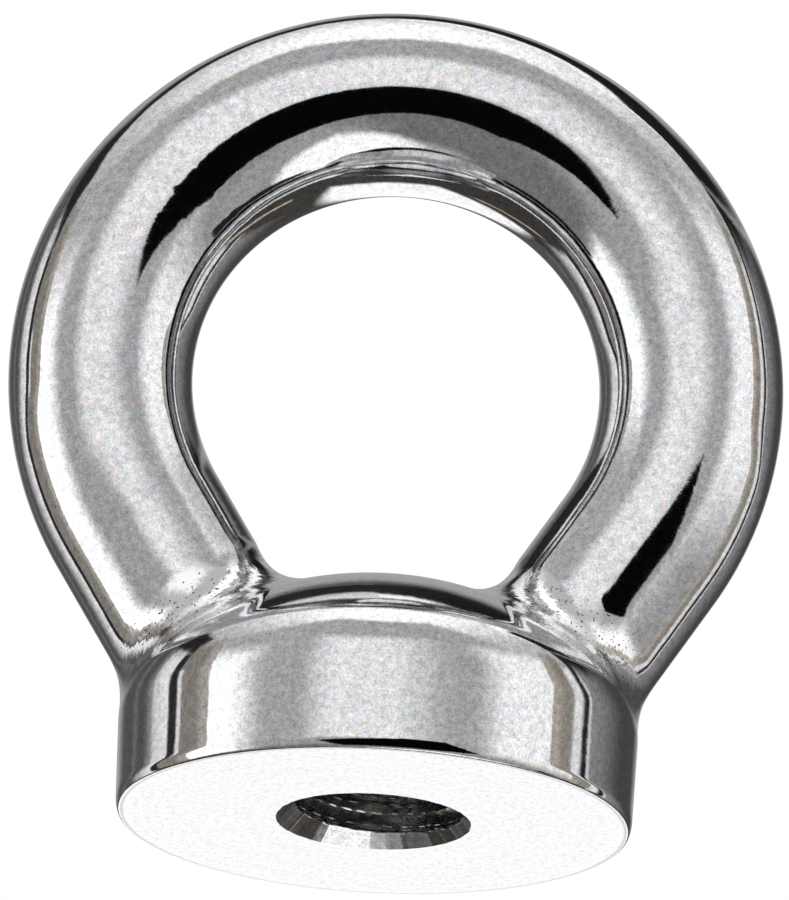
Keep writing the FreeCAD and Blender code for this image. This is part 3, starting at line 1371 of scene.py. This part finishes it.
@dataclass
class LightTent:
    """The world round the nut: a white tent with cards, which the steel mirrors.

    Later cards hang in front of earlier ones, and zenith_steps gives the cloth's shade by elevation.
    In the belt that the base's upright side mirrors, near cards are shifted forward by up to
    near_left and near_right degrees. That starts and is full at the azimuths of left_side and
    right_side, and at the elevations of belt_bottom from below and of belt_top from above.
    """

    steel_brightness: float = 0.72
    red_gain: float = 0.6
    blue_loss: float = 0.8
    cards: tuple[Card, ...] = (
        Card("canopy", ((-84, 43), (76, 42), (46, 74), (-50, 75)), 0.63, (4, 7, 3, 7)),
        upright_card("front_light", -31, 17, 7, 46, 0.88, (5, 17, 6, 9)),
        upright_card("right_light", 50, 95, -4, 42, 0.93, (14, 0.8, 8, 10), side=Side.NEAR),
        upright_card("left_window", -94, -64, -22, 27, 1.06, (5, 12, 13, 0.8), side=Side.NEAR),
        Card("front_low", ((-84, -62), (78, -54), (78, -20), (-84, -24)), 0.43, (6, 3, 8, 3)),
        Card("low_right_grey", ((14, -44), (78, -44), (78, -16), (18, -24)), 0.58, (4, 2, 6, 10)),
        Card("floor_grey", ((-70, -90), (0, -90), (0, -63), (-44, -66)), 0.66, (4, 4, 5, 9)),
        Card("floor_white", ((-26, -90), (112, -90), (95, -42), (26, -42)), 0.99, (4, 2, 3, 6)),
        Card(
            "camera_card_left", ((-17.5, -28.5), (24, -26), (12, 10.2), (-28.7, -5)),
            0.02, (0.7, 1, 0.7, 0.7),
        ),
        Card(
            "camera_card_right", ((2, -27.3), (24, -26), (45, -13.5), (28.5, 10.8)),
            0.02, (0.7, 0.7, 0.7, 1),
        ),
        Card("camera_card_top", ((4, -14), (34, -9), (28.5, 10.8), (8, 9.9)), 0.02, (1, 1, 0.7, 1)),
        Card(
            "room_right", ((122, -24), (184, -24), (184, 49), (122, 45)),
            0.25, (4, 2, 2.5, 5), 0, Side.NEAR,
        ),
        Card(
            "room_left", ((176, -20), (241, -20), (236, 40), (176, 49)),
            0.30, (4, 0.8, 2.5, 2), 0, Side.BACK,
        ),
        Card("low_room_right", ((96, -80), (184, -80), (184, -8), (96, -20)), 0.23, (2, 2, 4, 1), 0.1),
        Card(
            "low_room_left", ((176, -80), (262, -80), (262, -24), (176, -8)),
            0.21, (2, 1, 4, 2), 0.1, Side.BACK,
        ),
        Card("arch_right", ((110, 40), (184, 54), (184, 62), (107, 66)), 0.94, (0.6, 2, 1, 0.7)),
        Card("arch_edge_right", ((104, 28), (184, 48), (184, 57), (112, 61)), 0.12, (2, 2, 1.2, 0.7)),
        Card(
            "arch_edge_left", ((176, 48), (256, 33), (254, 45), (176, 57)),
            0.14, (0.8, 1, 1.2, 2), 0, Side.BACK,
        ),
        Card("left_black_strip", ((-87, -62), (-76, -62), (-83, -21), (-93, -21)), 0.06, (3, 1, 1, 1)),
        Card("right_black_strip", ((79, -54), (88, -54), (90, -18), (77, -18)), 0.12, (3, 1, 1, 1)),
        upright_card("left_glow", -129.5, -119.5, -22, 32, 0.88, (4, 0.8, 6, 12), side=Side.NEAR),
        upright_card("left_streak", -152, -147, -14, 34, 0.38, (6, 2, 6, 2), 0.05, Side.NEAR),
        upright_card("left_line", -119.5, -113.6, -24, 34, 0.15, (4, 0.8, 3, 0.8), side=Side.NEAR),
        upright_card("left_brown", -113.4, -94, -28, 40, 0.47, (5, 0.8, 6, 0.8), 0.13, Side.NEAR),
        upright_card("left_brown_light", -99.5, -94, -24, 40, 0.60, (4, 0.8, 6, 3), 0.12, Side.NEAR),
        upright_card("left_bright_line", -113.2, -110.8, 10, 20, 0.84, (1, 0.7, 1, 0.7), side=Side.NEAR),
        upright_card("right_brown", 95, 107, -20, 44, 0.50, (4, 1, 4, 0.8), 0.16, Side.NEAR),
        upright_card("right_brown_light", 95, 100, -20, 44, 0.60, (4, 2, 4, 0.8), 0.16, Side.NEAR),
        upright_card("right_bright_line", 108.2, 113.4, -16, 36, 0.84, (2, 0.8, 2, 0.8), side=Side.NEAR),
        upright_card("right_glow", 118.4, 136, -20, 36, 0.50, (4, 17, 6, 1), side=Side.NEAR),
        upright_card("right_line", 114.6, 118.8, -24, 42, 0.13, (2, 0.8, 2, 0.8), side=Side.NEAR),
        upright_card("right_edge_line", 118.6, 120.8, -20, 34, 0.76, (4, 0.8, 6, 0.7), side=Side.NEAR),
        Card("back_dark_blotch", ((118, 34), (162, 42), (168, 56), (120, 56)), 0.10, (5, 6, 2, 5)),
        Card(
            "back_grey", ((166, 12), (196, 12), (212, 42), (150, 42)),
            0.58, (6, 8, 4, 8), 0, Side.BACK,
        ),
        Card("back_bar", ((112, 47), (118, 44), (178, 16), (176, 20)), 0.62, (1.5, 2, 1.5, 2)),
        Card(
            "gold_right", ((126, -39), (129, -38), (112, -18), (109, -19)),
            0.66, (0.9, 0.9, 0.9, 0.9), 0.3,
        ),
        Card(
            "gold_left", ((-157, -42), (-154, -42), (-133, -27), (-136, -27)),
            0.7, (0.9, 0.9, 0.9, 0.9), 0.3,
        ),
        Card(
            "back_low_white", ((143, -46), (192, -47), (211, -22), (178, 4)),
            0.975, (3, 3, 3, 3), 0, Side.BACK,
        ),
    )
    zenith_steps: tuple[tuple[float, float], ...] = (
        *((-90, 0.34), (-68, 0.40), (-35, 0.48), (-12, 0.60)),
        *((15, 0.63), (42, 0.64), (58, 0.78), (80, 1.02)),
    )
    belt_bottom: tuple[float, float] = (3.0, 13.0)
    belt_top: tuple[float, float] = (58.0, 24.0)
    left_side: tuple[float, float] = (-68.0, -82.0)
    right_side: tuple[float, float] = (66.0, 80.0)
    near_left: float = 10.4
    near_right: float = 13.0
    background: float = 1.0
    soft_light: float = 0.95

    def level(self, shade: float) -> float:
        """Says how bright a card must be for the steel to show it in a shade.

        Args:
            shade: The shade in the picture, from 0 to 1 or more.

        Returns:
            The brightness, by the picture's own curve.
        """
        linear = ((shade + 0.055) / 1.055) ** 2.4 if shade > 0.04 else shade / 12.92
        return linear / self.steel_brightness

    def colour(self, shade: float, warmth: float) -> tuple[float, float, float, float]:
        """Gives the colour of a card.

        Args:
            shade: Its shade.
            warmth: How brown it is, from 0 for grey.

        Returns:
            Red, green, blue and alpha.
        """
        level = self.level(shade)
        return (level * (1 + self.red_gain * warmth), level, level * (1 - self.blue_loss * warmth), 1.0)

    def build(self) -> None:
        """Makes the world."""
        world = bpy.data.worlds.new("light_tent")
        bpy.context.scene.world = world
        world.use_nodes = True
        graph = Graph(world.node_tree)
        graph.tree.nodes.clear()
        sides = self.directions(graph)
        colour = self.cloth(graph, sides[Side.FRONT])
        mask_group = self.card_mask()
        for card in self.cards:
            colour = self.hang(graph, mask_group, card, sides[card.side], colour)
        light = self.light(graph, colour)
        for ray, brightness in (("Is Diffuse Ray", self.soft_light), ("Is Camera Ray", self.background)):
            path = graph.node("ShaderNodeLightPath")
            plain = self.light(graph, (brightness, brightness, brightness, 1))
            feeds = {0: path.outputs[ray], 1: light, 2: plain}
            light = graph.node("ShaderNodeMixShader", feeds).outputs[0]
        graph.node("ShaderNodeOutputWorld", {"Surface": light})
        log.info("light_tent: %d cards", len(self.cards))

    def light(self, graph: Graph, colour: object) -> bpy.types.NodeSocket:
        """Makes a light that comes from all round.

        Args:
            graph: The world's graph.
            colour: Its colour, linked or plain.

        Returns:
            The light.
        """
        return graph.node("ShaderNodeBackground", {"Color": colour}).outputs["Background"]

    def directions(self, graph: Graph) -> dict[Side, bpy.types.NodeSocket]:
        """Turns the direction of a ray into azimuth and elevation in degrees.

        Args:
            graph: The world's graph.

        Returns:
            For each side of the tent, a vector of azimuth, elevation and one.
        """
        ray = graph.node("ShaderNodeTexCoord").outputs["Generated"]
        split = graph.node("ShaderNodeSeparateXYZ", {0: ray})
        towards = graph.math("MULTIPLY", split.outputs["Y"], -1.0)
        azimuth = graph.math("DEGREES", graph.math("ARCTAN2", split.outputs["X"], towards))
        elevation = graph.math("DEGREES", graph.math("ARCSINE", split.outputs["Z"]))
        wrapped = graph.math("FLOORED_MODULO", azimuth, 360.0)
        inside = [graph.remap(elevation, *end) for end in (self.belt_bottom, self.belt_top)]
        belt = graph.math("MULTIPLY", *inside)
        left = graph.remap(azimuth, *self.left_side, 0.0, -self.near_left)
        right = graph.remap(azimuth, *self.right_side, 0.0, self.near_right)
        near = graph.math("MULTIPLY_ADD", graph.math("ADD", left, right), belt, azimuth)
        return {
            side: graph.node("ShaderNodeCombineXYZ", {0: angle, 1: elevation, 2: 1.0}).outputs["Vector"]
            for side, angle in ((Side.FRONT, azimuth), (Side.BACK, wrapped), (Side.NEAR, near))
        }

    def cloth(self, graph: Graph, direction: bpy.types.NodeSocket) -> bpy.types.NodeSocket:
        """Makes the tent's cloth, which is ever brighter from the floor to the top.

        Args:
            graph: The world's graph.
            direction: Azimuth, elevation and one.

        Returns:
            The cloth's colour.
        """
        elevation = graph.node("ShaderNodeSeparateXYZ", {0: direction}).outputs["Y"]
        share = graph.math("MULTIPLY_ADD", elevation, 1 / 180, 0.5)
        ramp = graph.node("ShaderNodeValToRGB", {"Fac": share})
        stops = ramp.color_ramp.elements
        while len(stops) < len(self.zenith_steps):
            stops.new(0.5)
        for stop, (degrees, shade) in zip(stops, self.zenith_steps):
            stop.position = (degrees + 90) / 180
            stop.color = self.colour(shade, 0)
        return ramp.outputs["Color"]

    def card_mask(self) -> bpy.types.NodeTree:
        """Makes the node group that says how far a direction is inside a card's four edges.

        Returns:
            The group, which takes a direction and the edges that Card gives.
        """
        edges = [f"Edge {number}" for number in range(1, 5)]
        vectors = dict.fromkeys(["Direction", *edges], (0.0, 0.0, 0.0))
        graph, inputs, outputs = shared_group("card_mask", vectors, {"Mask": "NodeSocketFloat"})
        least = None
        for edge in edges:
            feeds = {0: inputs["Direction"], 1: inputs[edge]}
            inside = graph.node("ShaderNodeVectorMath", feeds, operation="DOT_PRODUCT").outputs["Value"]
            least = inside if least is None else graph.math("MINIMUM", least, inside)
        graph.feed(outputs["Mask"], graph.remap(least, -1.0, 1.0))
        return graph.tree

    def hang(
        self,
        graph: Graph,
        mask_group: bpy.types.NodeTree,
        card: Card,
        direction: bpy.types.NodeSocket,
        behind: bpy.types.NodeSocket,
    ) -> bpy.types.NodeSocket:
        """Hangs a card in front of what is there already.

        Args:
            graph: The world's graph.
            mask_group: The group that card_mask made.
            card: The card.
            direction: Azimuth, elevation and one.
            behind: The colour behind the card.

        Returns:
            The colour with the card in front.
        """
        mask = graph.node("ShaderNodeGroup", node_tree=mask_group, label=card.name)
        for number, value in enumerate([direction, *card.edges()]):
            graph.feed(mask.inputs[number], value)
        return graph.tint(mask.outputs["Mask"], behind, self.colour(card.shade, card.warmth))


@dataclass
class Floor:
    """The pale floor that the nut stands on, which is clear from below."""

    radius: float = 0.6
    sides: int = 96
    gap: float = 0.00005
    fibre_size: float = 2.5
    shades: tuple[float, float] = (0.925, 0.935)

    def build(self) -> None:
        """Makes the floor, which mirrors and lights nothing."""
        deselect_all()
        bpy.ops.mesh.primitive_circle_add(
            vertices=self.sides, radius=self.radius, fill_type="NGON", location=(0, 0, -self.gap)
        )
        floor = bpy.context.object
        floor.name = "floor"
        bpy.ops.object.transform_apply(location=True, rotation=True, scale=True)
        for ray in ("glossy", "diffuse", "shadow", "transmission"):
            setattr(floor, f"visible_{ray}", False)
        floor.data.materials.append(self.paper())
        log.info("floor: %.1f m across", 2 * self.radius)

    def paper(self) -> bpy.types.Material:
        """Makes the floor's matt paper, which is clear from its back.

        Returns:
            The material.
        """
        paper = bpy.data.materials.new("pale_floor")
        paper.use_nodes = True
        graph = Graph(paper.node_tree)
        graph.tree.nodes.clear()
        fibres = graph.noise(graph.millimetres(), self.fibre_size, detail=3.0)
        first, second = ((shade, shade, shade, 1) for shade in self.shades)
        matt = graph.node("ShaderNodeBsdfDiffuse", {"Color": graph.tint(fibres, first, second)})
        clear = graph.node("ShaderNodeBsdfTransparent")
        back = graph.node("ShaderNodeNewGeometry").outputs["Backfacing"]
        mix = graph.node("ShaderNodeMixShader", {0: back, 1: matt.outputs[0], 2: clear.outputs[0]})
        graph.node("ShaderNodeOutputMaterial", {"Surface": mix.outputs[0]})
        return paper


@dataclass
class PhotoCamera:
    """The photograph's camera: in front of the nut and below it, with a long lens."""

    below: float = math.radians(16.46)
    turned: float = math.radians(1.5)
    roll: float = math.radians(2.99)
    distance: float = 1.2
    pixels_per_metre: float = 23491.0
    width: int = 789
    height: int = 900
    origin_pixel: tuple[float, float] = (373.3, 821.4)
    sensor: float = 36.0
    clip: tuple[float, float] = (0.01, 10.0)

    def build(self) -> None:
        """Makes the camera and makes it the scene's own."""
        data = bpy.data.cameras.new("photo_camera")
        data.sensor_width = self.sensor
        data.lens = self.pixels_per_metre * self.distance * self.sensor / self.height
        data.clip_start, data.clip_end = self.clip
        level = Vector((math.cos(self.turned), -math.sin(self.turned), 0))
        away = Vector((math.sin(self.turned), math.cos(self.turned), 0))
        towards = away * math.cos(self.below) + Vector((0, 0, math.sin(self.below)))
        upright = Vector((0, 0, math.cos(self.below))) - away * math.sin(self.below)
        right = level * math.cos(self.roll) + upright * math.sin(self.roll)
        up = upright * math.cos(self.roll) - level * math.sin(self.roll)
        place = -towards * self.distance
        aside = (self.width / 2 - self.origin_pixel[0]) / self.pixels_per_metre
        above = (self.origin_pixel[1] - self.height / 2) / self.pixels_per_metre
        forward = (right * aside + up * above - place).normalized()
        right = (right - forward * right.dot(forward)).normalized()
        up = right.cross(forward)
        camera = bpy.data.objects.new("photo_camera", data)
        bpy.context.scene.collection.objects.link(camera)
        turn = Matrix((right, up, -forward)).transposed().to_4x4()
        camera.matrix_world = Matrix.Translation(place) @ turn
        bpy.context.scene.camera = camera


def main() -> None:
    """Builds the nut, the studio and the camera."""
    nut = EyeNut().build()
    SteelEffects().build()
    finishes = (
        SteelFinish("polished_steel", skin=HollowSkinAndHighlight()),
        SteelFinish(
            "turned_steel",
            roughness=0.12,
            grain=1.2,
            turning_depth=0.4,
            pit_amount=0.035,
            ripple_height=0.3,
        ),
        SteelFinish("countersunk_steel", roughness=0.14, uneven=0.06, turning_depth=0.8, pit_amount=0.0),
        # Painted shade in the bore: the tapped wall's colour is darker and it has more pits
        SteelFinish("tapped_steel", (0.6, 0.59, 0.58), 0.17, uneven=0.08, grain=1.4, pit_amount=0.06),
    )
    for finish in finishes:
        nut.data.materials.append(finish.material())
    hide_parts("eye_nut")
    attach(nut, "root")
    LightTent().build()
    Floor().build()
    PhotoCamera().build()
    bpy.context.scene.view_settings.view_transform = "Standard"


if __name__ == "__main__":
    main()
